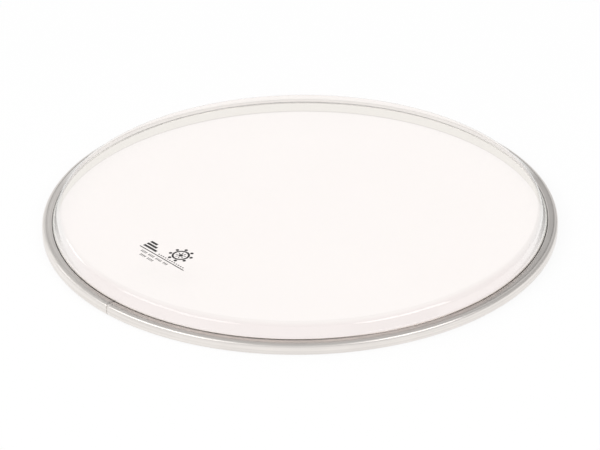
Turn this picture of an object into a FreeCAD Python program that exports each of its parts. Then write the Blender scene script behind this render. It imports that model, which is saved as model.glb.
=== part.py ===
import FreeCAD, Part
import os
import Sketcher

# Clear drum head: a film with a formed collar, locked at its edge in a rolled metal hoop.
# The origin is the centre of the hoop's bottom face, and +Z points out of the playing side.

# Driving sizes in millimetres. A name that ends in angle is in degrees, and one in share has no unit.
SIZES = [
    # Hoop: a strip rolled into a channel, with a flange crimped in over its top
    ("hoop_outer_diameter", 266.7),
    ("channel_width", 6.45),
    ("hoop_height", 5.8),
    ("sheet_thickness", 0.8),
    ("shoulder_bend_inside", 1.0),
    ("bottom_bend_inside", 0.4),
    ("edge_round_share", 0.3),
    ("inner_wall_drop", 0.15),
    ("flange_line_inset", 2.2),
    ("flange_line_radius", 0.15),
    ("joint_gap", 0.3),
    ("joint_angle", 224),
    # Film: from its tail round the locking ring to the flat playing surface
    ("film_gauge", 0.25),
    ("slot_clearance", 0.2),
    ("flange_clearance", 0.1),
    ("foot_lift", 0.25),
    ("foot_reach", 1.22),
    ("foot_rise", 0.48),
    ("foot_bend_inside", 0.5),
    ("collar_run", 1.9),
    ("plateau_rise", 7.2),
    ("shoulder_sweep_inside", 3.75),
    # Pieces inside the channel
    ("fit_clearance", 0.05),
    ("ring_corner", 0.5),
    ("ring_gap", 0.4),
    ("splice_thickness", 1.6),
    ("splice_length", 24.0),
    ("fill_edge_round", 0.25),
]

# Radii of the section, from the hoop's outside to its inside
HOOP_OUTSIDE = "(Sizes.hoop_outer_diameter / 2)"
HOOP_INSIDE = f"({HOOP_OUTSIDE} - Sizes.channel_width)"
CAVITY_INSIDE = f"({HOOP_INSIDE} + Sizes.sheet_thickness)"
CAVITY_OUTSIDE = f"({HOOP_OUTSIDE} - Sizes.sheet_thickness)"
FILM_FACE = f"({CAVITY_INSIDE} + Sizes.slot_clearance + Sizes.film_gauge)"
FLANGE_EDGE = f"({FILM_FACE} + Sizes.flange_clearance)"
FILL_OUTSIDE = f"({CAVITY_OUTSIDE} - Sizes.fit_clearance)"
FILL_INSIDE = f"({FILL_OUTSIDE} - Sizes.splice_thickness)"
FILL_MIDDLE = f"({FILL_OUTSIDE} - Sizes.splice_thickness / 2)"
TAIL_FACE = f"({FILL_INSIDE} - Sizes.fit_clearance - Sizes.film_gauge)"
RING_OUTSIDE = f"({TAIL_FACE} - Sizes.fit_clearance)"
RING_INSIDE = f"({FILM_FACE} + Sizes.fit_clearance)"

# Heights of the section
FLANGE_UNDERSIDE = "(Sizes.hoop_height - Sizes.sheet_thickness)"
WALL_TOP = "(Sizes.hoop_height - Sizes.inner_wall_drop)"
FILL_BOTTOM = "(Sizes.sheet_thickness + Sizes.fit_clearance)"
FILL_TOP = f"({FLANGE_UNDERSIDE} - Sizes.fit_clearance)"
WRAP_FLOOR = f"({FILL_BOTTOM} + Sizes.film_gauge)"
RING_BOTTOM = f"({WRAP_FLOOR} + Sizes.fit_clearance)"
FOOT_HEIGHT = "(Sizes.hoop_height + Sizes.foot_lift)"
COLLAR_BASE = f"({FOOT_HEIGHT} + Sizes.foot_rise)"
PLATEAU_TOP = "(Sizes.hoop_height + Sizes.plateau_rise)"

# Bends of the hoop and of the film's outer face
SHEET_EDGE = "Sizes.edge_round_share * Sizes.sheet_thickness"
SHOULDER_OUTSIDE = "Sizes.shoulder_bend_inside + Sizes.sheet_thickness"
BOTTOM_OUTSIDE = "Sizes.bottom_bend_inside + Sizes.sheet_thickness"
WRAP_BEND = "Sizes.ring_corner + Sizes.fit_clearance"
FOOT_BEND = "Sizes.foot_bend_inside + Sizes.film_gauge"
SHOULDER_SWEEP = "Sizes.shoulder_sweep_inside + Sizes.film_gauge"

doc = FreeCAD.newDocument("drum_head")


def make_sheet():
    """Write the driving sizes into the sheet, one named cell each."""
    table = doc.addObject("Spreadsheet::Sheet", "Sizes")
    for row, (alias, number) in enumerate(SIZES, start=1):
        table.set(f"A{row}", alias)
        table.set(f"B{row}", str(number))
        table.setAlias(f"B{row}", alias)
    doc.recompute()
    return table


sheet = make_sheet()


def value(expression):
    """Work out an expression of sheet cells as a number."""
    return float(sheet.evalExpression(expression))


def drive(sketch, expression, kind, *where):
    """Add a dimension to a sketch and bind it to the sheet."""
    index = sketch.addConstraint(Sketcher.Constraint(kind, *where, value(expression)))
    sketch.setExpression(f"Constraints[{index}]", expression)


def place_point(sketch, where, radius, height):
    """Fix a sketch point at a radius from the axis, or on the axis itself, and at a height."""
    if radius is None:
        sketch.addConstraint(Sketcher.Constraint("PointOnObject", *where, -2))
    else:
        drive(sketch, radius, "DistanceX", -1, 1, *where)
    if height is None:
        sketch.addConstraint(Sketcher.Constraint("PointOnObject", *where, -1))
    else:
        drive(sketch, height, "DistanceY", -1, 1, *where)


def bend_arc(before, corner, after, radius):
    """Give the tangent arc of a radius that rounds a corner, as its start, middle and end."""
    back = (before - corner).normalize()
    ahead = (after - corner).normalize()
    inward = (back + ahead).normalize()
    centre_reach = radius / inward.cross(ahead).Length
    centre = corner + inward * centre_reach
    tangent_reach = centre_reach * inward.dot(ahead)
    return corner + back * tangent_reach, centre - inward * radius, corner + ahead * tangent_reach


def draw_section(sketch, corners, closed):
    """Draw straight runs with tangent bends between them.

    Each corner is a radius from the axis, a height and a bend, as expressions. An open run starts and ends
    square, so its first and last corners have no bend.
    """
    spots = [
        FreeCAD.Vector(value(radius) if radius else 0, value(height) if height else 0, 0)
        for radius, height, bend in corners
    ]
    count = len(corners)
    runs = count if closed else count - 1
    bends = {}
    for index, (radius, height, bend) in enumerate(corners):
        if bend:
            neighbours = spots[index - 1], spots[index], spots[(index + 1) % count]
            bends[index] = bend_arc(*neighbours, value(bend))

    lines = []
    for index in range(runs):
        after = (index + 1) % count
        start = bends[index][2] if index in bends else spots[index]
        end = bends[after][0] if after in bends else spots[after]
        lines.append(sketch.addGeometry(Part.LineSegment(start, end)))

    for index, (radius, height, bend) in enumerate(corners):
        if not bend:
            end_of_run = (lines[0], 1) if index == 0 else (lines[-1], 2)
            place_point(sketch, end_of_run, radius, height)
            continue
        start = bends[index][0]
        arc = sketch.addGeometry(Part.Arc(*bends[index]))
        arc_ends = [1, 2]
        arc_ends.sort(key=lambda end: sketch.getPoint(arc, end).distanceToPoint(start))
        line_in = lines[index - 1]
        line_out = lines[index % runs]
        sketch.addConstraint(Sketcher.Constraint("Tangent", line_in, 2, arc, arc_ends[0]))
        sketch.addConstraint(Sketcher.Constraint("Tangent", line_out, 1, arc, arc_ends[1]))
        drive(sketch, bend, "Radius", arc)
        corner_point = sketch.addGeometry(Part.Point(spots[index]), True)
        sketch.addConstraint(Sketcher.Constraint("PointOnObject", corner_point, 1, line_in))
        sketch.addConstraint(Sketcher.Constraint("PointOnObject", corner_point, 1, line_out))
        place_point(sketch, (corner_point, 1), radius, height)


def origin_feature(body, role):
    """Find a plane or an axis of a body's own origin."""
    return next(feature for feature in body.Origin.OriginFeatures if feature.Role == role)


def new_section(body, name):
    """Add a sketch on the body's own upright plane."""
    sketch = body.newObject("Sketcher::SketchObject", name)
    sketch.AttachmentSupport = [(origin_feature(body, "XZ_Plane"), "")]
    sketch.MapMode = "FlatFace"
    return sketch


def arc_degrees(length, radius):
    """Write the expression for the angle that a length takes up on a circle."""
    return f"(({length}) / {radius} * 180 / pi)"


def turned_ring(label, corners, sweep, facing):
    """Turn a closed section about the axis by a sweep whose middle faces the given angle."""
    body = doc.addObject("PartDesign::Body", label)
    section = new_section(body, f"{label}_section")
    draw_section(section, corners, closed=True)
    turn = body.newObject("PartDesign::Revolution", f"{label}_turn")
    turn.Profile = section
    turn.ReferenceAxis = (origin_feature(body, "Z_Axis"), [""])
    turn.Midplane = True
    turn.setExpression("Angle", sweep)
    body.Placement = FreeCAD.Placement(
        FreeCAD.Vector(0, 0, 0), FreeCAD.Rotation(FreeCAD.Vector(0, 0, 1), value(facing))
    )
    body.setExpression("Placement.Rotation.Angle", facing)
    doc.recompute()
    return body


def score_flange(body):
    """Cut the fine line that runs round the flange beside its shoulder."""
    plain_volume = body.Shape.Volume
    section = new_section(body, "flange_line_section")
    radius = f"{HOOP_OUTSIDE} - Sizes.flange_line_inset"
    centre = FreeCAD.Vector(value(radius), value("Sizes.hoop_height"), 0)
    axis = FreeCAD.Vector(0, 0, 1)
    circle = section.addGeometry(Part.Circle(centre, axis, value("Sizes.flange_line_radius")))
    place_point(section, (circle, 3), radius, "Sizes.hoop_height")
    drive(section, "Sizes.flange_line_radius", "Radius", circle)
    line = body.newObject("PartDesign::Groove", "flange_line")
    line.Profile = section
    line.ReferenceAxis = (origin_feature(body, "Z_Axis"), [""])
    line.Angle = 360
    doc.recompute()
    if body.Shape.Volume >= plain_volume:
        raise RuntimeError("the flange line cuts nothing")


def make_hoop_channel():
    """Roll the hoop: inner wall, bottom, outer wall and flange, open at one butt joint."""
    corners = [
        (HOOP_INSIDE, None, BOTTOM_OUTSIDE),
        (HOOP_OUTSIDE, None, BOTTOM_OUTSIDE),
        (HOOP_OUTSIDE, "Sizes.hoop_height", SHOULDER_OUTSIDE),
        (FLANGE_EDGE, "Sizes.hoop_height", SHEET_EDGE),
        (FLANGE_EDGE, FLANGE_UNDERSIDE, SHEET_EDGE),
        (CAVITY_OUTSIDE, FLANGE_UNDERSIDE, "Sizes.shoulder_bend_inside"),
        (CAVITY_OUTSIDE, "Sizes.sheet_thickness", "Sizes.bottom_bend_inside"),
        (CAVITY_INSIDE, "Sizes.sheet_thickness", "Sizes.bottom_bend_inside"),
        (CAVITY_INSIDE, WALL_TOP, SHEET_EDGE),
        (HOOP_INSIDE, WALL_TOP, SHEET_EDGE),
    ]
    sweep = f"360 - {arc_degrees('Sizes.joint_gap', HOOP_OUTSIDE)}"
    body = turned_ring("hoop_channel", corners, sweep, "Sizes.joint_angle - 180")
    score_flange(body)
    return body


def make_locking_ring():
    """Bend the ring that the film's edge is wrapped round; its gap lies opposite the hoop's joint."""
    corners = [
        (RING_INSIDE, RING_BOTTOM, "Sizes.ring_corner"),
        (RING_OUTSIDE, RING_BOTTOM, "Sizes.ring_corner"),
        (RING_OUTSIDE, FILL_TOP, "Sizes.ring_corner"),
        (RING_INSIDE, FILL_TOP, "Sizes.ring_corner"),
    ]
    sweep = f"360 - {arc_degrees('Sizes.ring_gap', RING_INSIDE)}"
    return turned_ring("locking_ring", corners, sweep, "Sizes.joint_angle")


def fill_section():
    """List the corners of the space between the film's tail and the hoop's outer wall."""
    return [
        (FILL_INSIDE, FILL_BOTTOM, "Sizes.fill_edge_round"),
        (FILL_OUTSIDE, FILL_BOTTOM, "Sizes.bottom_bend_inside - Sizes.fit_clearance"),
        (FILL_OUTSIDE, FILL_TOP, "Sizes.shoulder_bend_inside - Sizes.fit_clearance"),
        (FILL_INSIDE, FILL_TOP, "Sizes.fill_edge_round"),
    ]


def make_joint_splice():
    """Make the key that bridges the hoop's butt joint from inside the channel."""
    sweep = arc_degrees("Sizes.splice_length", FILL_MIDDLE)
    return turned_ring("joint_splice", fill_section(), sweep, "Sizes.joint_angle")


def make_bonding_resin():
    """Cast the resin that fills the rest of the channel, from one end of the splice to the other."""
    taken = arc_degrees("Sizes.splice_length + 2 * Sizes.fit_clearance", FILL_MIDDLE)
    return turned_ring("bonding_resin", fill_section(), f"360 - {taken}", "Sizes.joint_angle - 180")


def make_drum_film():
    """Form the film along its outer face: tail, wrap, slot, foot, collar, shoulder and plateau."""
    collar_foot = f"({FILM_FACE} - Sizes.foot_reach)"
    corners = [
        (TAIL_FACE, FILL_TOP, None),
        (TAIL_FACE, WRAP_FLOOR, WRAP_BEND),
        (FILM_FACE, WRAP_FLOOR, WRAP_BEND),
        (FILM_FACE, FOOT_HEIGHT, FOOT_BEND),
        (collar_foot, COLLAR_BASE, "Sizes.foot_bend_inside"),
        (f"({collar_foot} - Sizes.collar_run)", PLATEAU_TOP, SHOULDER_SWEEP),
        (None, PLATEAU_TOP, None),
    ]
    path = doc.addObject("Sketcher::SketchObject", "film_path")
    upright = FreeCAD.Rotation(FreeCAD.Vector(1, 0, 0), 90)
    path.Placement = FreeCAD.Placement(FreeCAD.Vector(0, 0, 0), upright)
    draw_section(path, corners, closed=False)
    strip = doc.addObject("Part::Offset2D", "film_strip")
    strip.Source = path
    strip.Mode = "Skin"
    strip.Fill = True
    strip.setExpression("Value", "Sizes.film_gauge")
    film = doc.addObject("Part::Revolution", "drum_film")
    film.Source = strip
    film.Axis = FreeCAD.Vector(0, 0, 1)
    film.Angle = 360
    film.Solid = True
    doc.recompute()
    return film


def check_document():
    """Stop if any object of the document failed to build."""
    for item in doc.Objects:
        if "Invalid" in item.State or "Error" in item.State:
            raise RuntimeError(f"{item.Label} failed: {item.State}")


def export(pieces):
    """Write each piece to its own file, named for the piece."""
    os.makedirs("parts", exist_ok=True)
    for piece in pieces:
        shape = piece.Shape
        if shape.isNull() or not shape.isValid() or len(shape.Solids) != 1:
            raise RuntimeError(f"{piece.Label} is not one sound solid")
        shape.exportStep(f"parts/{piece.Label}.step")
        print(piece.Label, "volume", round(shape.Volume, 1), "mm3, box", shape.optimalBoundingBox())


pieces = [
    make_hoop_channel(),
    make_locking_ring(),
    make_joint_splice(),
    make_bonding_resin(),
    make_drum_film(),
]
doc.recompute()
check_document()
export(pieces)
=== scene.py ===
"""Looks of a clear film drum head: its finishes, the mark printed on its film and the studio round it.

Lengths are in metres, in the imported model's own frame: the origin is the centre of the hoop's bottom face,
+Z points out of the playing side and the camera stands on the -Y side.
"""
import logging
import math
from collections.abc import Iterable, Sequence
from dataclasses import dataclass
from enum import Enum, IntEnum

import bmesh
import bpy
from bmesh.types import BMesh
from bpy.types import Material, Mesh, NodeTree, Object
from bpy.types import Node as ShaderNode
from bpy.types import NodeSocket as Socket
from mathutils import Matrix, Vector


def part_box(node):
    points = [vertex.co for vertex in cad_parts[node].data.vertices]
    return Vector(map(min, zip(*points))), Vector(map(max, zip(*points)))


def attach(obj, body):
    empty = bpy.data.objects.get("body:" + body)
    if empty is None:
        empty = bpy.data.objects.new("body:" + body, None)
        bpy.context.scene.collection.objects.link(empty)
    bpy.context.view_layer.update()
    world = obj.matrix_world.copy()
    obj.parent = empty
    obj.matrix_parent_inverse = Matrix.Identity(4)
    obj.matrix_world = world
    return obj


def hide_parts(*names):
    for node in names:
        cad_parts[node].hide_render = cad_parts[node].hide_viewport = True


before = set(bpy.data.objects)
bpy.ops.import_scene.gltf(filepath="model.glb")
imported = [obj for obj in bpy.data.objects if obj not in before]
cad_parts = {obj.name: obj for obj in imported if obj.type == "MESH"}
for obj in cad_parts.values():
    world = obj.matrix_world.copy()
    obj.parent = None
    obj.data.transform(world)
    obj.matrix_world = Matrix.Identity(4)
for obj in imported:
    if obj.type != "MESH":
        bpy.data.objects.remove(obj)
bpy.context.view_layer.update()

LOG = logging.getLogger("drum_head")
MM = 0.001
MERGE_REACH = 0.0001 * MM
OUTPUT_NODE = "Material Output"

Colour = tuple[float, float, float]
Spot = tuple[float, float]
Source = Socket | float | Sequence[float]


class Node(str, Enum):
    """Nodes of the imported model."""

    HOOP = "hoop_channel"
    FILM = "drum_film"
    RING = "locking_ring"
    SPLICE = "joint_splice"
    RESIN = "bonding_resin"


class Slot(str, Enum):
    """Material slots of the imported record."""

    HOOP = "hoop_aluminium"
    FILM = "clear_film"
    RING = "ring_steel"
    SPLICE = "splice_aluminium"
    RESIN = "cast_resin"
    INK = "print_ink"


class Body(str, Enum):
    """Bodies that pieces ride on."""

    ROOT = "root"


class Mark(str, Enum):
    """Handling marks that a finish can vary with."""

    BLOTCHES = "Blotches"
    GRAINS = "Grains"


class MixSocket(IntEnum):
    """Sockets of a colour mix, which share their names and so are told apart by number."""

    PLAIN = 6
    CHANGED = 7
    MIXED = 2


class ShaderGraph:
    """A node tree that takes a node, with what feeds it, in one call."""

    def __init__(self, tree: NodeTree) -> None:
        """Keep the tree that the nodes go into."""
        self.tree = tree

    def feed(self, socket: Socket, source: Source) -> None:
        """Link a socket to its source, or set it to a constant.

        Args:
            socket: the socket to fill.
            source: another node's socket, or a constant.
        """
        if isinstance(source, Socket):
            self.tree.links.new(source, socket)
        else:
            socket.default_value = source

    def node(self, kind: str, *sources: Source, **settings: object) -> ShaderNode:
        """Add a node.

        Args:
            kind: Blender's name for the node type.
            sources: what feeds its first inputs, in order.
            settings: properties of the node and their values.

        Returns:
            The new node.
        """
        made = self.tree.nodes.new(kind)
        for name, setting in settings.items():
            setattr(made, name, setting)
        for socket, source in zip(made.inputs, sources):
            self.feed(socket, source)
        return made

    def show(self, shader: Socket) -> None:
        """Make a shader the one that the material shows."""
        self.feed(self.tree.nodes[OUTPUT_NODE].inputs["Surface"], shader)

    def either(self, share: Source, first: ShaderNode, second: ShaderNode) -> Socket:
        """Mix two shaders; the share is 0 for the first and 1 for the second."""
        return self.node("ShaderNodeMixShader", share, first.outputs[0], second.outputs[0]).outputs[0]

    def maths(self, operation: str, *sources: Source) -> Socket:
        """Combine numbers, in order, by one of Blender's operations."""
        return self.node("ShaderNodeMath", *sources, operation=operation).outputs["Value"]

    def noise(self, vector: Source, w: Source, detail: float, scale: float = 1.0) -> Socket:
        """Add a noise of four coordinates, about 0 to 1, with so many finer layers and cells to a unit."""
        made = self.node("ShaderNodeTexNoise", vector, w, scale, detail, noise_dimensions="4D")
        return made.outputs["Fac"]

    def spread(self, source: Source, low: Source, high: Source, to_low: Source = 0.0,
               to_high: Source = 1.0) -> Socket:
        """Stretch a value from the range low to high to another range, and keep it within that."""
        made = self.node("ShaderNodeMapRange", source, low, high, to_low, to_high, clamp=True)
        return made.outputs["Result"]

    def tint(self, share: Source, plain: Source, changed: Source) -> Socket:
        """Go from one colour to another.

        Args:
            share: 0 for the first colour and 1 for the second.
            plain: the first colour.
            changed: the second colour.

        Returns:
            The socket with the mixed colour.
        """
        made = self.node("ShaderNodeMix", share, data_type="RGBA")
        self.feed(made.inputs[MixSocket.PLAIN], plain)
        self.feed(made.inputs[MixSocket.CHANGED], changed)
        return made.outputs[MixSocket.MIXED]

    def ramp(self, source: Source, stops: Sequence[Spot]) -> Socket:
        """Follow a line through several stops.

        Args:
            source: where on the line, 0 to 1.
            stops: places on the line, rising, each with its level.

        Returns:
            The socket with the level.
        """
        made = self.node("ShaderNodeValToRGB", source)
        elements = made.color_ramp.elements
        while len(elements) < len(stops):
            elements.new(1.0)
        for element, (place, level) in zip(elements, stops):
            element.position = place
            element.color = (level, level, level, 1.0)
        return made.outputs["Color"]

    def scaled(self, vector: Source, pitch: Source) -> Socket:
        """Measure a vector in lengths of a pitch.

        Args:
            vector: the vector, in metres.
            pitch: the length that becomes 1.

        Returns:
            The socket with the scaled vector.
        """
        made = self.node("ShaderNodeVectorMath", vector, operation="SCALE")
        self.feed(made.inputs["Scale"], self.maths("DIVIDE", 1.0, pitch))
        return made.outputs["Vector"]

    def parts(self, vector: Source) -> tuple[Socket, ...]:
        """Split a vector into its three numbers."""
        return tuple(self.node("ShaderNodeSeparateXYZ", vector).outputs)

    def radius(self, vector: Source) -> Socket:
        """Work out how far a point is from the upright axis.

        Args:
            vector: the point.

        Returns:
            The socket with the distance.
        """
        x, y, _ = self.parts(vector)
        squares = self.maths("ADD", self.maths("MULTIPLY", x, x), self.maths("MULTIPLY", y, y))
        return self.maths("SQRT", squares)


def opaque(colour: Colour) -> tuple[float, float, float, float]:
    """Give a colour its fourth number."""
    return (*colour, 1.0)


@dataclass
class ShaderGroup:
    """A node group that several finishes share."""

    name: str

    def start(
        self, inputs: Sequence[str], outputs: Sequence[str]
    ) -> tuple[ShaderGraph, dict[str, Socket], dict[str, Socket]]:
        """Make the empty group.

        Args:
            inputs: names of the number inputs; Position is always there, as a vector.
            outputs: names of the number outputs.

        Returns:
            The graph, and its input and output sockets by name.
        """
        tree = bpy.data.node_groups.new(self.name, "ShaderNodeTree")
        tree.interface.new_socket("Position", in_out="INPUT", socket_type="NodeSocketVector")
        for name in inputs:
            tree.interface.new_socket(name, in_out="INPUT", socket_type="NodeSocketFloat")
        for name in outputs:
            tree.interface.new_socket(name, in_out="OUTPUT", socket_type="NodeSocketFloat")
        graph = ShaderGraph(tree)
        entry = graph.node("NodeGroupInput")
        leave = graph.node("NodeGroupOutput")
        taken = {name: entry.outputs[name] for name in ("Position", *inputs)}
        given = {name: leave.inputs[name] for name in outputs}
        return graph, taken, given

    def build(self) -> NodeTree:
        """Make the group's nodes; each kind of group has its own."""
        raise NotImplementedError

    def tree(self) -> NodeTree:
        """Find the group, and build it the first time."""
        return bpy.data.node_groups.get(self.name) or self.build()

    def place(self, graph: ShaderGraph, position: Source, **inputs: Source) -> ShaderNode:
        """Put the group into a material.

        Args:
            graph: the material's graph.
            position: the point of the surface, in metres.
            inputs: values by input name.

        Returns:
            The group node, whose outputs carry the effect.
        """
        made = graph.node("ShaderNodeGroup", node_tree=self.tree())
        graph.feed(made.inputs["Position"], position)
        for name, source in inputs.items():
            graph.feed(made.inputs[name], source)
        return made


@dataclass
class RollingLines(ShaderGroup):
    """Fine lines that a roller or a die leaves along a ring: quick across the strip, slow along it.

    A range is the part of a noise that is stretched to 0 to 1.
    """

    name: str = "rolling_lines"
    line_detail: float = 3.0
    line_range: Spot = (0.3, 0.7)
    scratch_finer: float = 2.3
    scratch_scale: float = 1.7
    scratch_detail: float = 1.0
    scratch_range: Spot = (0.64, 0.74)

    def build(self) -> NodeTree:
        """Make lines from a noise that is stretched round the axis.

        Returns:
            The group's tree.
        """
        graph, taken, given = self.start(("Pitch", "Run"), ("Lines", "Scratches"))
        x, y, z = graph.parts(taken["Position"])
        across = graph.maths("DIVIDE", graph.radius(taken["Position"]), taken["Pitch"])
        shares = ((x, taken["Run"]), (y, taken["Run"]), (z, taken["Pitch"]))
        along = graph.node("ShaderNodeCombineXYZ", *(graph.maths("DIVIDE", *share) for share in shares))
        lines = graph.noise(along.outputs["Vector"], across, self.line_detail)
        graph.feed(given["Lines"], graph.spread(lines, *self.line_range))
        finer = graph.maths("MULTIPLY", across, self.scratch_finer)
        scratches = graph.noise(along.outputs["Vector"], finer, self.scratch_detail, self.scratch_scale)
        graph.feed(given["Scratches"], graph.spread(scratches, *self.scratch_range))
        return graph.tree


@dataclass
class HandlingHaze(ShaderGroup):
    """Soft blotches that handling, dust and a slightly uneven surface leave.

    A range is the part of a noise that is stretched to 0 to 1.
    """

    name: str = "handling_haze"
    blotch_seed: float = 2.0
    blotch_detail: float = 4.0
    blotch_range: Spot = (0.35, 0.68)
    grain_seed: float = 7.0
    grain_detail: float = 2.0
    grain_range: Spot = (0.3, 0.7)

    def build(self) -> NodeTree:
        """Make broad blotches and fine grains from two noises.

        Returns:
            The group's tree.
        """
        graph, taken, given = self.start(("Blotch", "Grain"), ("Blotches", "Grains"))
        broad = graph.scaled(taken["Position"], taken["Blotch"])
        blotches = graph.noise(broad, self.blotch_seed, self.blotch_detail)
        graph.feed(given["Blotches"], graph.spread(blotches, *self.blotch_range))
        fine = graph.scaled(taken["Position"], taken["Grain"])
        grains = graph.noise(fine, self.grain_seed, self.grain_detail)
        graph.feed(given["Grains"], graph.spread(grains, *self.grain_range))
        return graph.tree


@dataclass(frozen=True, kw_only=True)
class Finish:
    """What every finish has: a name, a base colour, a roughness and the sizes of its marks.

    The sway is the share that the roughness rises by at a mask's end and falls by at its start, or the other
    way round where it is below zero.
    """

    name: str
    colour: Colour
    roughness: float
    rough_sway: float
    blotch: float
    grain: float

    def begin(self) -> tuple[Material, ShaderGraph, ShaderNode, Socket]:
        """Make an empty material.

        Returns:
            The material, its graph, its surface shader and the socket with the point of the surface.
        """
        material = bpy.data.materials.new(self.name)
        material.use_nodes = True
        material.diffuse_color = opaque(self.colour)
        material.node_tree.nodes.clear()
        graph = ShaderGraph(material.node_tree)
        surface = graph.node("ShaderNodeBsdfPrincipled")
        graph.feed(surface.inputs["Base Color"], opaque(self.colour))
        graph.feed(surface.inputs["Roughness"], self.roughness)
        graph.node("ShaderNodeOutputMaterial", surface.outputs[0], name=OUTPUT_NODE)
        position = graph.node("ShaderNodeTexCoord").outputs["Object"]
        return material, graph, surface, position

    def shaded(self, factor: float) -> tuple[float, float, float, float]:
        """Give the base colour, darker or lighter by a factor."""
        return opaque(tuple(min(1.0, part * factor) for part in self.colour))

    def haze(self, graph: ShaderGraph, position: Source) -> ShaderNode:
        """Add the node with this finish's handling marks."""
        return HandlingHaze().place(graph, position, Blotch=self.blotch, Grain=self.grain)

    def swayed(self, graph: ShaderGraph, mask: Source) -> Socket:
        """Give the roughness, as it sways along a mask."""
        ends = (self.roughness * (1 - self.rough_sway), self.roughness * (1 + self.rough_sway))
        return graph.spread(mask, 0.0, 1.0, *ends)

    def material(self) -> Material:
        """Make the material; each kind of finish has its own."""
        raise NotImplementedError


@dataclass(frozen=True)
class MetalMarks:
    """What a metal's colour and roughness are worked out from.

    One node has the rolling lines and drag marks, the other the handling marks and fine grains, all 0 to 1.
    """

    graph: ShaderGraph
    position: Socket
    rolled: ShaderNode
    haze: ShaderNode


@dataclass(frozen=True, kw_only=True)
class RolledMetal(Finish):
    """Satin metal with lines along its ring, as rolled strip and drawn wire have."""

    pitch: float
    run: float
    line_depth: float
    line_contrast: float
    rough_sway: float = -0.12
    smudge_share: float = 0.12
    smudge_shade: float = 0.7
    smudge_roughness: float = 0.06

    def tone(self, marks: MetalMarks) -> Socket:
        """Colour the metal.

        Args:
            marks: what is on its surface.

        Returns:
            The socket with the colour.
        """
        dark = self.shaded(1.0 - self.line_contrast)
        pale = self.shaded(1.0 + self.line_contrast)
        lined = marks.graph.tint(marks.rolled.outputs["Lines"], dark, pale)
        smudge = marks.graph.maths("MULTIPLY", marks.haze.outputs["Blotches"], self.smudge_share)
        return marks.graph.tint(smudge, lined, self.shaded(self.smudge_shade))

    def smoothed(self, marks: MetalMarks, rough: Socket) -> Socket:
        """Give the roughness, here the same all over the piece."""
        return rough

    def material(self) -> Material:
        """Make the metal, with its lines in colour, roughness and height.

        Returns:
            The material.
        """
        material, graph, surface, position = self.begin()
        graph.feed(surface.inputs["Metallic"], 1.0)
        rolled = RollingLines().place(graph, position, Pitch=self.pitch, Run=self.run)
        marks = MetalMarks(graph, position, rolled, self.haze(graph, position))
        graph.feed(surface.inputs["Base Color"], self.tone(marks))
        lines = rolled.outputs["Lines"]
        smudge = marks.haze.outputs["Blotches"]
        rough = graph.maths("MULTIPLY_ADD", smudge, self.smudge_roughness, self.swayed(graph, lines))
        graph.feed(surface.inputs["Roughness"], self.smoothed(marks, rough))
        bump = graph.node("ShaderNodeBump")
        graph.feed(bump.inputs["Distance"], self.line_depth)
        graph.feed(bump.inputs["Height"], lines)
        graph.feed(surface.inputs["Normal"], bump.outputs["Normal"])
        return material


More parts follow.
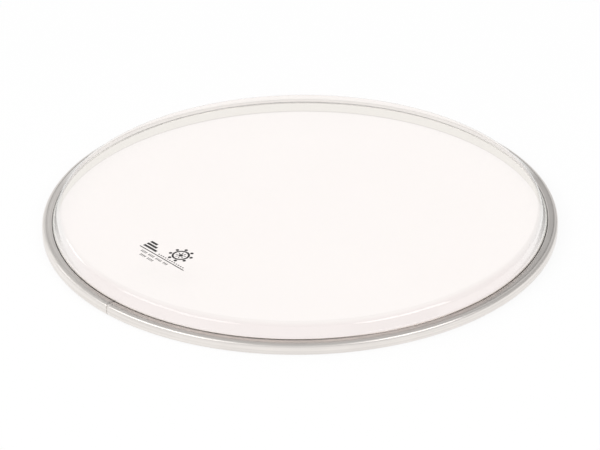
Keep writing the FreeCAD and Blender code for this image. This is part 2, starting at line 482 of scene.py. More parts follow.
@dataclass(frozen=True, kw_only=True)
class HoopMetal(RolledMetal):
    """The hoop's metal: painted shade on the flange, painted light at the back, and a paler colour in the
    bore.

    The flange's painted shade stands in for the dim reflection that its flat top catches, over its rolling
    lines and grains. It goes from the slot to the lip. Each of its stops is a share of that way, and a level
    from the dark shade to the light one; the stops paint light and dark rings, among them a highlight at the
    slot's edge.
    A further painted shade darkens the sides, by a share that changes from the -X side to the +X side, and
    comes in over a short way from the slot. On the +Y side painted light takes over, sooner beside the slot
    than at the lip, and is palest at the slot. Painted shade darkens the bore's foot.
    """

    name: str = "satin_aluminium"
    colour: Colour = (0.85, 0.81, 0.775)
    roughness: float = 0.31
    blotch: float = 22 * MM
    grain: float = 0.9 * MM
    pitch: float = 0.9 * MM
    run: float = 90 * MM
    line_depth: float = 0.003 * MM
    line_contrast: float = 0.07
    # Painted shade on the flange: its dark and light levels stand in for the dim reflection of the flat top,
    # and the stops paint light and dark rings, among them a highlight at the slot's edge.
    flange_inside: float = 128.25 * MM
    flange_outside: float = 131.7 * MM
    flange_floor: float = 5.0 * MM
    flange_shade_dark: float = 0.68
    flange_shade_light: float = 1.06
    flange_shade_stops: tuple[Spot, ...] = (
        (0.0, 0.4), (0.1, 0.3), (0.2, 0.0), (0.35, 0.32), (0.48, 0.42), (0.6, 0.12), (0.82, 0.0), (0.94, 0.4)
    )
    flange_lines_share: float = 0.2
    flange_grain_share: float = 0.2
    # Painted shade towards the flange's -X and +X sides.
    side_shade_factor: float = 0.5
    side_shade_stops: tuple[Spot, ...] = ((0.0, 0.45), (0.3, 0.0), (0.62, 0.0), (0.9, 0.6), (1.0, 0.95))
    side_shade_by: float = 0.25
    drag_share: float = 0.5
    drag_shade: float = 0.34
    # Painted light on the +Y side, palest at the slot's edge.
    far_light_from: float = 75 * MM
    far_light_by: float = 105 * MM
    far_light_colour: Colour = (0.92, 0.915, 0.895)
    far_light_inside: float = 130.8 * MM
    far_light_lead: float = 40 * MM
    far_light_edge: float = 128.6 * MM
    far_light_edge_colour: Colour = (1.0, 1.0, 0.985)
    bore_radius: float = 127.75 * MM
    bore_colour: Colour = (0.875, 0.88, 0.845)
    bore_roughness: float = 0.16
    # Painted shade at the foot of the bore.
    foot_shade_height: float = 0.8 * MM
    foot_shade_colour: Colour = (0.76, 0.75, 0.73)
    blend: float = 0.3 * MM

    def below(self, graph: ShaderGraph, source: Source, edge: float) -> Socket:
        """Mask what lies below an edge that is as soft as the blend: 1 below it and 0 beyond."""
        return graph.spread(source, edge, edge + self.blend, 1.0, 0.0)

    def bore(self, marks: MetalMarks) -> Socket:
        """Mask the bore: 1 on the inner wall and 0 beyond it."""
        return self.below(marks.graph, marks.graph.radius(marks.position), self.bore_radius)

    def smoothed(self, marks: MetalMarks, rough: Socket) -> Socket:
        """Give the roughness, which is lower in the bore."""
        return marks.graph.spread(self.bore(marks), 0.0, 1.0, rough, self.bore_roughness)

    def flange_shade_tone(self, marks: MetalMarks) -> Socket:
        """Colour the flange with painted shade, over its rolling lines, grains and drag marks.

        Args:
            marks: what is on the metal's surface.

        Returns:
            The socket with the colour.
        """
        graph = marks.graph
        x, _, _ = graph.parts(marks.position)
        across = graph.spread(graph.radius(marks.position), self.flange_inside, self.flange_outside)
        level = graph.ramp(across, self.flange_shade_stops)
        level = graph.maths("MULTIPLY_ADD", marks.rolled.outputs["Lines"], self.flange_lines_share, level)
        level = graph.maths("MULTIPLY_ADD", marks.haze.outputs["Grains"], self.flange_grain_share, level)
        # Painted shade: the flange's level runs from the dark shade to the light one.
        flange_tone = graph.tint(level, self.shaded(self.flange_shade_dark), self.shaded(self.flange_shade_light))
        # Painted shade, darker towards the sides, coming in over a short way from the slot.
        along = graph.spread(x, -self.flange_outside, self.flange_outside)
        side_shade_share = graph.ramp(along, self.side_shade_stops)
        side_shade_share = graph.maths("MULTIPLY", side_shade_share, graph.spread(across, 0.0, self.side_shade_by))
        flange_tone = graph.tint(side_shade_share, flange_tone, self.shaded(self.side_shade_factor))
        drags = graph.maths("MULTIPLY", marks.rolled.outputs["Scratches"], self.drag_share)
        return graph.tint(drags, flange_tone, self.shaded(self.drag_shade))

    def far_light(self, marks: MetalMarks, metal: Source) -> Socket:
        """Paint light on the metal's +Y side, palest at the slot's edge.

        Args:
            marks: what is on the metal's surface.
            metal: the colour elsewhere.

        Returns:
            The socket with the colour.
        """
        graph = marks.graph
        radius = graph.radius(marks.position)
        _, y, _ = graph.parts(marks.position)
        # Painted light on the +Y side, sooner beside the slot than at the lip.
        covered = self.below(graph, radius, self.far_light_inside)
        reached = graph.maths("MULTIPLY_ADD", covered, self.far_light_lead, y)
        share = graph.spread(reached, self.far_light_from, self.far_light_by)
        edge = self.below(graph, radius, self.far_light_edge)
        return graph.tint(
            share, metal, graph.tint(edge, opaque(self.far_light_colour), opaque(self.far_light_edge_colour))
        )

    def tone(self, marks: MetalMarks) -> Socket:
        """Colour the metal, zone by zone.

        Args:
            marks: what is on its surface.

        Returns:
            The socket with the colour.
        """
        graph = marks.graph
        _, _, z = graph.parts(marks.position)
        before_lip = self.below(graph, graph.radius(marks.position), self.flange_outside)
        raised = graph.spread(z, self.flange_floor, self.flange_floor + self.blend)
        # The flange, where the painted shade goes.
        on_flange = graph.maths("MULTIPLY", before_lip, raised)
        metal = self.far_light(marks, graph.tint(on_flange, super().tone(marks), self.flange_shade_tone(marks)))
        # Painted shade at the foot of the bore.
        foot = self.below(graph, z, self.foot_shade_height)
        bore_tone = graph.tint(foot, opaque(self.bore_colour), opaque(self.foot_shade_colour))
        return graph.tint(self.bore(marks), metal, bore_tone)


@dataclass(frozen=True, kw_only=True)
class ClearSheet(Finish):
    """Clear glossy film that light shines through: dulled where it is formed, with painted shade at the
    slot.

    The formed collar has painted shade, darker and warmer on the -Y side than on the +Y side, and the
    painted shade at the slot fades towards +X and +Y.
    """

    name: str = "clear_polyester"
    colour: Colour = (1.0, 0.958, 0.937)
    roughness: float = 0.02
    rough_sway: float = 0.4
    blotch: float = 40 * MM
    grain: float = 0.5 * MM
    ior: float = 1.5
    shade: Colour = (0.985, 0.965, 0.955)
    haze_share: float = 0.15
    haze_shade: float = 0.97
    formed_from: float = 123.2 * MM
    formed_by: float = 125.0 * MM
    # Painted shade on the formed collar, darker and warmer towards -Y.
    collar_shade_colour: Colour = (0.945, 0.885, 0.87)
    collar_back_shade_colour: Colour = (0.972, 0.962, 0.948)
    collar_shade_turn: Spot = (-75 * MM, -15 * MM)
    formed_roughness: float = 0.08
    # Painted shade in the slot, low on the film's foot, fading towards +X and +Y.
    slot_shade_from: float = 127.7 * MM
    slot_shade_top: float = 6.05 * MM
    slot_shade_blend: float = 0.1 * MM
    slot_shade_colour: Colour = (0.39, 0.37, 0.355)
    slot_shade_fade_x: Spot = (0.0, 40 * MM)
    slot_shade_fade_y: Spot = (-70 * MM, -20 * MM)

    def slot_shade(self, graph: ShaderGraph, position: Source) -> Socket:
        """Mask the painted shade at the slot.

        Args:
            graph: the material's graph.
            position: the point of the surface.

        Returns:
            The socket with the mask, 0 to 1.
        """
        x, y, z = graph.parts(position)
        radius = graph.radius(position)
        outside = graph.spread(radius, self.slot_shade_from, self.slot_shade_from + self.slot_shade_blend)
        low = graph.spread(z, self.slot_shade_top - self.slot_shade_blend, self.slot_shade_top, 1.0, 0.0)
        left = graph.spread(x, *self.slot_shade_fade_x, 1.0, 0.0)
        near = graph.spread(y, *self.slot_shade_fade_y, 1.0, 0.0)
        ring = graph.maths("MULTIPLY", outside, low)
        return graph.maths("MULTIPLY", ring, graph.maths("MULTIPLY", left, near))

    def tone(self, graph: ShaderGraph, position: Source, formed: Source, blotches: Source) -> Socket:
        """Colour the film.

        Args:
            graph: the material's graph.
            position: the point of the surface.
            formed: the mask of the formed collar, 0 to 1.
            blotches: the mask of the handling marks, 0 to 1.

        Returns:
            The socket with the colour.
        """
        _, y, _ = graph.parts(position)
        faint = graph.maths("MULTIPLY", blotches, self.haze_share)
        flat = graph.tint(faint, opaque(self.colour), self.shaded(self.haze_shade))
        # Painted shade on the formed collar, darker and warmer towards -Y.
        behind = graph.spread(y, *self.collar_shade_turn)
        collar = graph.tint(behind, opaque(self.collar_shade_colour), opaque(self.collar_back_shade_colour))
        clear = graph.tint(formed, flat, collar)
        # Painted shade at the slot.
        return graph.tint(self.slot_shade(graph, position), clear, opaque(self.slot_shade_colour))

    def material(self) -> Material:
        """Make the film, as glass to the eye and as an open window to shadows.

        Returns:
            The material.
        """
        material, graph, surface, position = self.begin()
        graph.feed(surface.inputs["IOR"], self.ior)
        graph.feed(surface.inputs["Transmission Weight"], 1.0)
        blotches = self.haze(graph, position).outputs["Blotches"]
        formed = graph.spread(graph.radius(position), self.formed_from, self.formed_by)
        rough = self.swayed(graph, blotches)
        dulled = graph.maths("MULTIPLY_ADD", formed, self.formed_roughness, rough)
        graph.feed(surface.inputs["Roughness"], dulled)
        graph.feed(surface.inputs["Base Color"], self.tone(graph, position, formed, blotches))
        path = graph.node("ShaderNodeLightPath")
        open_ray = graph.maths("MAXIMUM", path.outputs["Is Shadow Ray"], path.outputs["Is Diffuse Ray"])
        window = graph.node("ShaderNodeBsdfTransparent", opaque(self.shade))
        graph.show(graph.either(open_ray, surface, window))
        return material


@dataclass(frozen=True, kw_only=True)
class MottledCoat(Finish):
    """Cast resin or printed ink, which one kind of mark makes patchy and another makes dull."""

    patch_shade: float
    patch_mark: Mark
    rough_mark: Mark

    def material(self) -> Material:
        """Make the coat, uneven in colour and in roughness.

        Returns:
            The material.
        """
        material, graph, surface, position = self.begin()
        marks = self.haze(graph, position).outputs
        patches = marks[self.patch_mark.value]
        patched = graph.tint(patches, opaque(self.colour), self.shaded(self.patch_shade))
        graph.feed(surface.inputs["Base Color"], patched)
        graph.feed(surface.inputs["Roughness"], self.swayed(graph, marks[self.rough_mark.value]))
        return material


HOOP_METAL = HoopMetal()
SPLICE_METAL = RolledMetal(
    name="mill_aluminium", colour=(0.68, 0.68, 0.68), roughness=0.45, blotch=8 * MM, grain=0.3 * MM,
    pitch=0.3 * MM, run=20 * MM, line_depth=0.003 * MM, line_contrast=0.1,
)
RING_STEEL = RolledMetal(
    name="plated_steel", colour=(0.56, 0.56, 0.57), roughness=0.3, blotch=15 * MM, grain=0.15 * MM,
    pitch=0.15 * MM, run=40 * MM, line_depth=0.002 * MM, line_contrast=0.06,
)
FILM_FINISH = ClearSheet()
RESIN_FINISH = MottledCoat(
    name="amber_resin", colour=(0.62, 0.54, 0.38), roughness=0.5, rough_sway=0.15,
    blotch=6 * MM, grain=0.4 * MM, patch_shade=0.75, patch_mark=Mark.BLOTCHES, rough_mark=Mark.GRAINS,
)
INK_FINISH = MottledCoat(
    name="dark_ink", colour=(0.02, 0.018, 0.018), roughness=0.6, rough_sway=0.1,
    blotch=8 * MM, grain=0.15 * MM, patch_shade=1.5, patch_mark=Mark.GRAINS, rough_mark=Mark.BLOTCHES,
)


def dress(node: Node, finish: Finish) -> Object:
    """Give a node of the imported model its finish.

    Args:
        node: the node.
        finish: what its surface is made of.

    Returns:
        The node's object.
    """
    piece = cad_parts[node.value]
    piece.data.materials.clear()
    piece.data.materials.append(finish.material())
    LOG.info("dressed %s in %s", node.value, finish.name)
    return piece


@dataclass(frozen=True)
class Bend:
    """A corner of a turned section: its radius from the axis, its height and how widely it is rounded."""

    radius: float
    height: float
    round: float = 0.0

    def spot(self) -> Vector:
        """Give the corner as a point of the section."""
        return Vector((self.radius, self.height))


@dataclass(frozen=True)
class FacePoint:
    """A point of a section's face, with the way that the face looks there."""

    place: Vector
    facing: Vector

    def moved(self, reach: float) -> Vector:
        """Give the point that lies a reach along the facing."""
        return self.place + self.facing * reach


def face_points(bends: Sequence[Bend], arc_step: float, closed: bool) -> list[FacePoint]:
    """Follow straight runs with rounded corners between them.

    Args:
        bends: the corners; the first and the last of an open run are its ends, and stay square.
        arc_step: the widest turn between two points of a rounded corner, in radians.
        closed: whether the last corner runs on to the first.

    Returns:
        The points, each facing left of the way that the run goes.
    """
    spots = [bend.spot() for bend in bends]
    ways = [(spots[(index + 1) % len(spots)] - spot).normalized() for index, spot in enumerate(spots)]
    lefts = [Vector((-way.y, way.x)) for way in ways]
    corners = range(len(bends)) if closed else range(1, len(bends) - 1)
    points: list[FacePoint] = []
    for index in corners:
        turn = ways[index - 1].angle_signed(ways[index])
        side = -1.0 if turn > 0 else 1.0
        reach = bends[index].round * math.tan(abs(turn) / 2)
        start = spots[index] - ways[index - 1] * reach
        centre = start + lefts[index - 1] * side * bends[index].round
        steps = max(1, math.ceil(abs(turn) / arc_step))
        for step in range(steps + 1):
            facing = lefts[index - 1].copy()
            facing.rotate(Matrix.Rotation(-turn * step / steps, 2))
            points.append(FacePoint(centre - facing * side * bends[index].round, facing))
    if closed:
        return points
    return [FacePoint(spots[0], lefts[0]), *points, FacePoint(spots[-1], lefts[-2])]


def stand(section: Iterable[Vector], turn: float) -> list[Vector]:
    """Stand a section, given as radius and height, at a turn about the axis."""
    return [Vector((spot.x * math.cos(turn), spot.x * math.sin(turn), spot.y)) for spot in section]


def join_sections(name: str, sections: Sequence[Sequence[Vector]], closed: bool) -> Mesh:
    """Join sections that follow each other into one solid.

    Args:
        name: the mesh's name.
        sections: loops of as many points each.
        closed: whether the last section joins the first; otherwise both are capped.

    Returns:
        The solid, shaded smooth, with points that fall together merged.
    """
    size = len(sections[0])
    places = [tuple(spot) for section in sections for spot in section]
    starts = [size * index for index in range(len(sections))]
    pairs = list(zip(starts, starts[1:]))
    if closed:
        pairs.append((starts[-1], starts[0]))
    faces: list[tuple[int, ...]] = []
    for first, second in pairs:
        for index in range(size):
            after = (index + 1) % size
            faces.append((first + index, first + after, second + after, second + index))
    if not closed:
        faces.append(tuple(range(size)))
        faces.append(tuple(range(starts[-1], starts[-1] + size)))
    mesh = bpy.data.meshes.new(name)
    mesh.from_pydata(places, [], faces)
    tidy = bmesh.new()
    tidy.from_mesh(mesh)
    bmesh.ops.remove_doubles(tidy, verts=tidy.verts, dist=MERGE_REACH)
    bmesh.ops.recalc_face_normals(tidy, faces=tidy.faces)
    tidy.to_mesh(mesh)
    tidy.free()
    mesh.shade_smooth()
    return mesh


def add_piece(mesh: Mesh, finish: Finish) -> Object:
    """Put a new piece on the part's one body.

    Args:
        mesh: the piece's shape, whose name it takes.
        finish: what its surface is made of.

    Returns:
        The piece.
    """
    mesh.materials.append(finish.material())
    piece = bpy.data.objects.new(mesh.name, mesh)
    bpy.context.scene.collection.objects.link(piece)
    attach(piece, Body.ROOT.value)
    LOG.info("made %s in %s", piece.name, finish.name)
    return piece


@dataclass
class HoopAssembly:
    """The rolled hoop and the key that bridges its butt joint.

    The hoop's section is a strip bent to a channel: inner wall, bottom, outer wall, and a flange crimped in
    over the top with a fine line scored round it. The ends meet at the joint with eased edges.
    """

    metal: Finish = HOOP_METAL
    splice_metal: Finish = SPLICE_METAL
    outside: float = 133.35 * MM
    inside: float = 126.9 * MM
    height: float = 5.8 * MM
    sheet: float = 0.8 * MM
    flange_edge: float = 128.25 * MM
    wall_top: float = 5.75 * MM
    bottom_round: float = 1.2 * MM
    shoulder_round: float = 1.8 * MM
    edge_round: float = 0.24 * MM
    flange_round: float = 0.2 * MM
    line_radius: float = 131.15 * MM
    line_reach: float = 0.17 * MM
    line_depth: float = 0.14 * MM
    line_round: float = 0.05 * MM
    joint_azimuth: float = math.radians(224)
    joint_gap: float = 0.3 * MM
    joint_easing: float = 0.06 * MM
    arc_step: float = math.radians(9)
    turn_steps: int = 720

    def face(self) -> list[FacePoint]:
        """Draw the hoop's section.

        Returns:
            Its closed outline, which faces into the metal.
        """
        within = self.outside - self.sheet
        beyond = self.inside + self.sheet
        under = self.height - self.sheet
        bends = [
            Bend(self.inside, 0.0, self.bottom_round),
            Bend(self.outside, 0.0, self.bottom_round),
            Bend(self.outside, self.height, self.shoulder_round),
            Bend(self.line_radius + self.line_reach, self.height, self.line_round),
            Bend(self.line_radius, self.height - self.line_depth, self.line_round),
            Bend(self.line_radius - self.line_reach, self.height, self.line_round),
            Bend(self.flange_edge, self.height, self.flange_round),
            Bend(self.flange_edge, under, self.edge_round),
            Bend(within, under, self.shoulder_round - self.sheet),
            Bend(within, self.sheet, self.bottom_round - self.sheet),
            Bend(beyond, self.sheet, self.bottom_round - self.sheet),
            Bend(beyond, self.wall_top, self.edge_round),
            Bend(self.inside, self.wall_top, self.edge_round),
        ]
        return face_points(bends, self.arc_step, closed=True)

    def build_hoop(self) -> Object:
        """Roll the hoop from one side of its joint to the other.

        Returns:
            The hoop's object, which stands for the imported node.
        """
        face = self.face()
        whole = [point.place for point in face]
        eased = [point.moved(self.joint_easing) for point in face]
        start = self.joint_azimuth + self.joint_gap / 2 / self.outside
        sweep = math.tau - self.joint_gap / self.outside
        easing = self.joint_easing / self.outside
        step = (sweep - 2 * easing) / self.turn_steps
        turns = [start + easing + step * index for index in range(self.turn_steps + 1)]
        sections = [stand(whole, turn) for turn in turns]
        sections = [stand(eased, start), *sections, stand(eased, start + sweep)]
        piece = add_piece(join_sections("hoop_ring", sections, closed=False), self.metal)
        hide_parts(Node.HOOP.value)
        return piece

    def build(self) -> list[Object]:
        """Roll the hoop and dress its splice."""
        return [self.build_hoop(), dress(Node.SPLICE, self.splice_metal)]


@dataclass
class FilmAssembly:
    """The film with the ring that its edge is wrapped round and the resin that holds it.

    The film's section starts at its tail beside the resin, goes under the ring and up through the slot, and
    then over foot, collar and shoulder to the flat playing surface.
    """

    finish: Finish = FILM_FINISH
    ring: Finish = RING_STEEL
    resin: Finish = RESIN_FINISH
    gauge: float = 0.25 * MM
    tail_top: float = 4.95 * MM
    slot_radius: float = 128.15 * MM
    wrap_round: float = 0.55 * MM
    foot_height: float = 6.05 * MM
    foot_round: float = 0.75 * MM
    collar_radius: float = 126.93 * MM
    collar_height: float = 6.53 * MM
    collar_round: float = 0.5 * MM
    shoulder_radius: float = 125.03 * MM
    shoulder_round: float = 4.0 * MM
    arc_step: float = math.radians(4)
    turn_steps: int = 720
    ripple: float = 0.05 * MM
    ripple_counts: tuple[int, ...] = (5, 11, 17, 29)

    def section(self) -> list[Vector]:
        """Draw the film's section.

        Returns:
            Its closed outline, as radius and height.
        """
        low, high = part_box(Node.FILM.value)
        tail_radius = high.x - self.gauge
        wrap_height = low.z + self.gauge
        bends = [
            Bend(tail_radius, self.tail_top),
            Bend(tail_radius, wrap_height, self.wrap_round),
            Bend(self.slot_radius, wrap_height, self.wrap_round),
            Bend(self.slot_radius, self.foot_height, self.foot_round),
            Bend(self.collar_radius, self.collar_height, self.collar_round),
            Bend(self.shoulder_radius, high.z, self.shoulder_round),
            Bend(0.0, high.z),
        ]
        outer = face_points(bends, self.arc_step, closed=False)
        inner = [point.moved(self.gauge) for point in reversed(outer)]
        return [point.place for point in outer] + inner

    def ruffle(self, mesh: Mesh) -> None:
        """Sway the collar and its shoulder in and out a little, as a formed film does round its hoop.

        Args:
            mesh: the film's mesh.
        """
        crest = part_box(Node.FILM.value)[1].z
        for vertex in mesh.vertices:
            level = (vertex.co.z - self.collar_height) / (crest - self.collar_height)
            if not 0.0 < level < 1.0:
                continue
            turn = math.atan2(vertex.co.y, vertex.co.x)
            wave = sum(math.sin(count * turn + count) for count in self.ripple_counts)
            reach = self.ripple * wave * math.sin(math.pi * level)
            vertex.co.x += reach * math.cos(turn)
            vertex.co.y += reach * math.sin(turn)

    def build_film(self) -> Object:
        """Form the film.

        Returns:
            The film's object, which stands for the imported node.
        """
        section = self.section()
        turns = [math.tau * step / self.turn_steps for step in range(self.turn_steps)]
        mesh = join_sections("film_skin", [stand(section, turn) for turn in turns], closed=True)
        self.ruffle(mesh)
        piece = add_piece(mesh, self.finish)
        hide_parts(Node.FILM.value)
        return piece

    def build(self) -> list[Object]:
        """Form the film, and dress the locking ring and the resin."""
        return [self.build_film(), dress(Node.RING, self.ring), dress(Node.RESIN, self.resin)]


@dataclass
class PrintedMark:
    """A plain printed mark on the film: gauge bars, a ring diagram, a rule and rows of dots and ticks.

    Places on the mark are along its rule, to the right, and up from it, towards the head's centre.
    """

    azimuth: float = math.radians(221)
    rule_radius: float = 91 * MM
    thickness: float = 0.008 * MM
    rule_left: float = -18.5 * MM
    rule_right: float = 16 * MM
    rule_width: float = 0.6 * MM
    bar_left: float = -18 * MM
    bar_lengths: tuple[float, ...] = (10 * MM, 7.5 * MM, 5 * MM)
    bar_width: float = 1.5 * MM
    bar_start: float = 2.3 * MM
    bar_step: float = 2.3 * MM
    ring_centre: Spot = (3.2 * MM, 8.8 * MM)
    ring_radius: float = 4.1 * MM
    ring_width: float = 1.1 * MM
    lug_count: int = 8
    lug_ring: float = 5.82 * MM
    lug_radius: float = 0.9 * MM
    spoke_width: float = 0.55 * MM
    spoke_reaches: Spot = (1.5 * MM, 2.85 * MM)
    hub_radius: float = 1.2 * MM
    dot_left: float = -5 * MM
    dot_count: int = 12
    dot_radius: float = 0.45 * MM
    dot_step: float = 1.7 * MM
    dot_level: float = 1.5 * MM
    tick_left: float = -14 * MM
    tick_step: float = 1.15 * MM
    tick_counts: tuple[int, ...] = (18, 10)
    tick_width: float = 0.55 * MM
    tick_reach: float = 1.5 * MM
    tick_top: float = -1.6 * MM
    tick_drop: float = 2.9 * MM
    tick_indent: float = 2.6 * MM
    tick_group: int = 5
    round_steps: int = 48

    def placement(self) -> Matrix:
        """Find the frame of the mark on the film's top.

        Returns:
            The frame: to the right along the rule, up from it and out of the film.
        """
        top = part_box(Node.FILM.value)[1].z
        outward = Vector((math.cos(self.azimuth), math.sin(self.azimuth), 0.0))
        right = Vector((-math.sin(self.azimuth), math.cos(self.azimuth), 0.0))
        columns = Matrix((right, -outward, Vector((0.0, 0.0, 1.0)))).transposed().to_4x4()
        columns.translation = outward * self.rule_radius + Vector((0.0, 0.0, top))
        return columns

    def circle(self, centre: Spot, radius: float) -> list[Spot]:
        """List the points of a circle.

        Args:
            centre: where the circle is on the mark.
            radius: how large it is.

        Returns:
            Points, anticlockwise.
        """
        turns = [math.tau * step / self.round_steps for step in range(self.round_steps)]
        return [(centre[0] + radius * math.cos(t), centre[1] + radius * math.sin(t)) for t in turns]

    @staticmethod
    def strip(start: Spot, end: Spot, width: float) -> list[Spot]:
        """List the corners of a straight stroke.

        Args:
            start: the middle of one end.
            end: the middle of the other end.
            width: the stroke's width.

        Returns:
            Four corners, anticlockwise.
        """
        run = Vector(end) - Vector(start)
        side = Vector((-run.y, run.x)).normalized() * width / 2
        corners = (Vector(start) - side, Vector(end) - side, Vector(end) + side, Vector(start) + side)
        return [tuple(corner) for corner in corners]

    def add_patch(self, mesh: BMesh, outline: Iterable[Spot]) -> None:
        """Add a patch of ink, as a thin solid.

        Args:
            mesh: the mark's mesh.
            outline: the points of its closed outline.
        """
        spots = list(outline)
        low = [mesh.verts.new((u, v, 0.0)) for u, v in spots]
        high = [mesh.verts.new((u, v, self.thickness)) for u, v in spots]
        mesh.faces.new(reversed(low))
        mesh.faces.new(high)
        for index in range(len(spots)):
            after = (index + 1) % len(spots)
            mesh.faces.new((low[index], low[after], high[after], high[index]))

    def add_band(self, mesh: BMesh, centre: Spot, radius: float, width: float) -> None:
        """Add a ring of ink, as a thin solid.

        Args:
            mesh: the mark's mesh.
            centre: where the ring is on the mark.
            radius: the radius to the middle of its width.
            width: how wide the ring is.
        """
        loops = [
            [mesh.verts.new((u, v, level)) for u, v in self.circle(centre, reach)]
            for reach, level in (
                (radius - width / 2, 0.0),
                (radius + width / 2, 0.0),
                (radius + width / 2, self.thickness),
                (radius - width / 2, self.thickness),
            )
        ]
        for first, second in zip(loops, loops[1:] + loops[:1]):
            for index in range(self.round_steps):
                after = (index + 1) % self.round_steps
                mesh.faces.new((first[index], first[after], second[after], second[index]))

    def draw_ring_diagram(self, mesh: BMesh) -> None:
        """Draw a head from above, with its lugs, the lines across it and its middle.

        Args:
            mesh: the mark's mesh.
        """
        self.add_band(mesh, self.ring_centre, self.ring_radius, self.ring_width)
        self.add_patch(mesh, self.circle(self.ring_centre, self.hub_radius))
        for lug in range(self.lug_count):
            turn = math.tau * (lug + 0.5) / self.lug_count
            way = Vector((math.cos(turn), math.sin(turn)))
            centre = Vector(self.ring_centre)
            self.add_patch(mesh, self.circle(tuple(centre + way * self.lug_ring), self.lug_radius))
            near, far = (tuple(centre + way * reach) for reach in self.spoke_reaches)
            self.add_patch(mesh, self.strip(near, far, self.spoke_width))

    def draw_gauge_bars(self, mesh: BMesh) -> None:
        """Draw bars of falling length above the rule.

        Args:
            mesh: the mark's mesh.
        """
        for row, length in enumerate(self.bar_lengths):
            level = self.bar_start + row * self.bar_step
            start = (self.bar_left, level)
            self.add_patch(mesh, self.strip(start, (self.bar_left + length, level), self.bar_width))

    def draw_scale(self, mesh: BMesh) -> None:
        """Draw the rule, the row of dots above it and the rows of ticks under it.

        Args:
            mesh: the mark's mesh.
        """
        ends = ((self.rule_left, 0.0), (self.rule_right, 0.0))
        self.add_patch(mesh, self.strip(*ends, self.rule_width))
        for dot in range(self.dot_count):
            along = self.dot_left + self.dot_step * dot
            self.add_patch(mesh, self.circle((along, self.dot_level), self.dot_radius))
        for row, count in enumerate(self.tick_counts):
            top = self.tick_top - row * self.tick_drop
            for tick in range(count):
                if tick % self.tick_group == self.tick_group - 1:
                    continue
                along = self.tick_left + row * self.tick_indent + tick * self.tick_step
                foot = (along, top - self.tick_reach)
                self.add_patch(mesh, self.strip(foot, (along, top), self.tick_width))

    def build(self) -> Object:
        """Print the mark on the film.

        Returns:
            The mark's object.
        """
        mesh = bmesh.new()
        self.draw_ring_diagram(mesh)
        self.draw_gauge_bars(mesh)
        self.draw_scale(mesh)
        bmesh.ops.recalc_face_normals(mesh, faces=mesh.faces)
        mesh.transform(self.placement())
        data = bpy.data.meshes.new("printed_mark")
        mesh.to_mesh(data)
        mesh.free()
        return add_piece(data, INK_FINISH)


@dataclass(frozen=True)
class SoftBox:
    """A wide soft lamp that faces the part, with its azimuth and rise in degrees.

    One that isn't mirrored leaves no glint in metal or film.
    """

    name: str
    azimuth: float
    rise: float
    distance: float
    width: float
    height: float
    radiance: float
    mirrored: bool = True

    def hang(self) -> None:
        """Hang the lamp in the studio."""
        lamp = bpy.data.lights.new(self.name, "AREA")
        lamp.energy = self.radiance * math.pi * self.width * self.height
        lamp.shape = "RECTANGLE"
        lamp.size = self.width
        lamp.size_y = self.height
        azimuth = math.radians(self.azimuth)
        rise = math.radians(self.rise)
        level = math.cos(rise)
        way = Vector((math.cos(azimuth) * level, math.sin(azimuth) * level, math.sin(rise)))
        hung = bpy.data.objects.new(self.name, lamp)
        hung.location = way * self.distance
        hung.rotation_mode = "QUATERNION"
        hung.rotation_quaternion = (-way).to_track_quat("-Z", "Y")
        hung.visible_glossy = self.mirrored
        hung.visible_transmission = self.mirrored
        bpy.context.scene.collection.objects.link(hung)


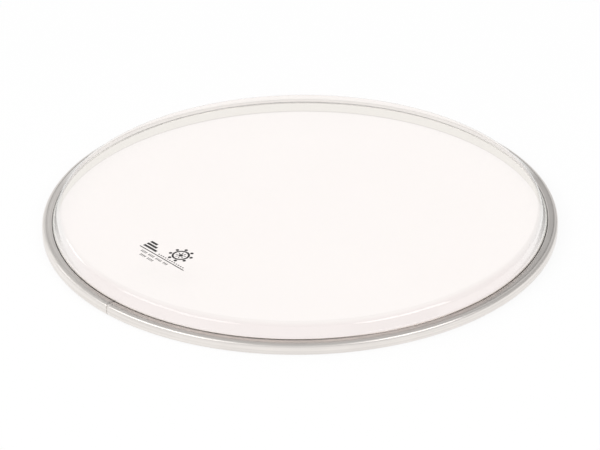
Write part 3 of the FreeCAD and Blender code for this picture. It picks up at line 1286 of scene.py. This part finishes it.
@dataclass
class Studio:
    """The pale floor, the soft light and the camera."""

    floor_half: float = 6.0
    floor_colour: Colour = (0.97, 0.97, 0.97)
    floor_glow_share: float = 0.82
    horizon_level: float = 1.0
    front_level: float = 0.82
    ceiling_level: float = 0.55
    horizon_top: float = math.radians(34)
    ceiling_start: float = math.radians(44)
    back_stops: Spot = (0.3, 0.6)
    side_stops: tuple[Spot, ...] = (
        (0.0, 1.0), (0.19, 0.8), (0.34, 0.75), (0.42, 1.0), (0.6, 1.0), (0.7, 0.5), (1.0, 0.5),
    )
    lamps: tuple[SoftBox, ...] = (
        SoftBox("left_lamp", azimuth=208, rise=37.5, distance=2.5, width=2.4, height=0.8, radiance=1.6),
        SoftBox("right_lamp", azimuth=320, rise=34, distance=2.5, width=1.6, height=0.8, radiance=2.5),
        SoftBox(
            "fill_lamp", azimuth=270, rise=84, distance=2.6, width=3.0, height=3.0, radiance=0.8,
            mirrored=False,
        ),
        SoftBox("edge_lamp", azimuth=141, rise=26, distance=2.5, width=0.8, height=0.3, radiance=2.0),
    )
    camera_distance: float = 1661.4 * MM
    camera_rise: float = math.radians(28.59)
    camera_roll: float = math.radians(-0.61)
    camera_lens: float = 192.4
    view_centre: tuple[float, float, float] = (0.0, 0.0, 4.671 * MM)
    aim: tuple[float, float, float] = (0.0, -2.51 * MM, 0.07 * MM)
    sensor_width: float = 36.0

    def add_floor(self) -> None:
        """Lay the floor under the hoop: white to the eye, in metal and through film, with a faint shadow."""
        material = bpy.data.materials.new("pale_floor")
        material.use_nodes = True
        graph = ShaderGraph(material.node_tree)
        surface = material.node_tree.nodes["Principled BSDF"]
        graph.feed(surface.inputs["Base Color"], opaque(self.floor_colour))
        graph.feed(surface.inputs["Roughness"], 1.0)
        graph.feed(surface.inputs["Specular IOR Level"], 0.0)
        path = graph.node("ShaderNodeLightPath")
        seen = graph.maths("MAXIMUM", path.outputs["Is Camera Ray"], path.outputs["Is Glossy Ray"])
        seen = graph.maths("MAXIMUM", seen, path.outputs["Is Transmission Ray"])
        share = graph.maths("MULTIPLY", seen, self.floor_glow_share)
        graph.show(graph.either(share, surface, graph.node("ShaderNodeEmission")))
        half = self.floor_half
        data = bpy.data.meshes.new("floor")
        data.from_pydata(
            [(-half, -half, 0.0), (half, -half, 0.0), (half, half, 0.0), (-half, half, 0.0)],
            [],
            [(0, 1, 2, 3)],
        )
        data.materials.append(material)
        floor = bpy.data.objects.new("floor", data)
        bpy.context.scene.collection.objects.link(floor)

    def add_light(self) -> None:
        """Hang the soft lamps, and set the room: white behind, dimmer in front, grey at right and above."""
        world = bpy.data.worlds.new("studio")
        world.use_nodes = True
        graph = ShaderGraph(world.node_tree)
        x, y, z = graph.parts(graph.node("ShaderNodeTexCoord").outputs["Generated"])
        heights = (math.sin(self.horizon_top), math.sin(self.ceiling_start))
        level = graph.spread(z, *heights, self.horizon_level, self.ceiling_level)
        front = graph.spread(y, *self.back_stops, self.front_level, self.horizon_level)
        side = graph.ramp(graph.spread(x, -1.0, 1.0), self.side_stops)
        level = graph.maths("MINIMUM", level, graph.maths("MINIMUM", front, side))
        graph.feed(world.node_tree.nodes["Background"].inputs["Color"], level)
        bpy.context.scene.world = world
        for lamp in self.lamps:
            lamp.hang()

    def add_camera(self) -> None:
        """Stand the camera where the photograph was taken from."""
        data = bpy.data.cameras.new("camera")
        data.lens = self.camera_lens
        data.sensor_width = self.sensor_width
        back = Vector((0.0, -math.cos(self.camera_rise), math.sin(self.camera_rise)))
        place = Vector(self.view_centre) + back * self.camera_distance
        look = (Vector(self.aim) - place).to_track_quat("-Z", "Y").to_matrix()
        roll = Matrix.Rotation(self.camera_roll, 3, "Z")
        camera = bpy.data.objects.new("camera", data)
        camera.matrix_world = Matrix.Translation(place) @ (look @ roll).to_4x4()
        bpy.context.scene.collection.objects.link(camera)
        bpy.context.scene.camera = camera

    def build(self) -> None:
        """Set up floor, light and camera."""
        self.add_floor()
        self.add_light()
        self.add_camera()
        bpy.context.scene.view_settings.view_transform = "Standard"
        LOG.info("studio is ready")


def main() -> None:
    """Dress the part, print its mark and set up the studio."""
    logging.basicConfig(level=logging.INFO, format="%(name)s: %(message)s")
    HoopAssembly().build()
    FilmAssembly().build()
    PrintedMark().build()
    Studio().build()


if __name__ == "__main__":
    main()
